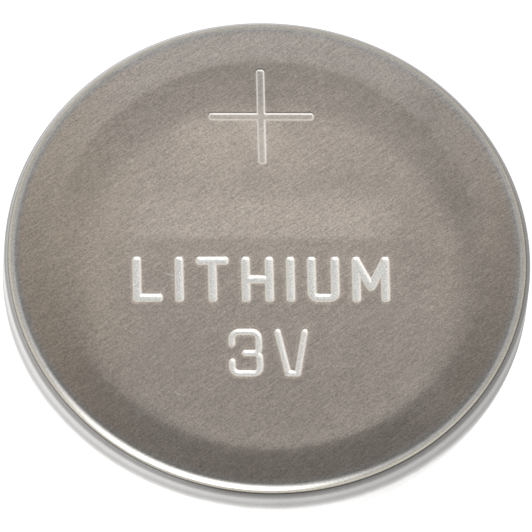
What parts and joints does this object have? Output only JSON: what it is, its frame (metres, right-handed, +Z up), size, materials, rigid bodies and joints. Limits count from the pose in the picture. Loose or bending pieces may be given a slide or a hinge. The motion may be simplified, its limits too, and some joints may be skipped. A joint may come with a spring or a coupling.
{
  "type": "lithium coin cell",
  "caption": "Round lithium coin cell: a flat metal can with a stamped plus sign, crimped over a plastic gasket and a raised metal cap.",
  "frame": {"origin": "middle of the negative contact face, which the cell stands on", "axes": "+Z up through the cell to its flat positive face; +Y towards the side of that face with the plus sign, +X to the right of the lettering"},
  "size_m": [0.02, 0.02, 0.0032],
  "materials": {
    "can_steel": "nickel-plated steel, finely brushed and slightly smudged",
    "cap_steel": "satin steel",
    "gasket_plastic": "natural translucent polypropylene",
    "lithium": "dull soft metal",
    "separator_felt": "non-woven fibre",
    "pellet": "pressed black powder",
    "grid_steel": "bright steel grid"
  },
  "bodies": {
    "root": {"positive_can": "can_steel", "negative_cap": "cap_steel", "gasket": "gasket_plastic", "lithium_disc": "lithium", "separator": "separator_felt", "cathode_pellet": "pellet", "cathode_collector": "grid_steel"}
  },
  "joints": []
}
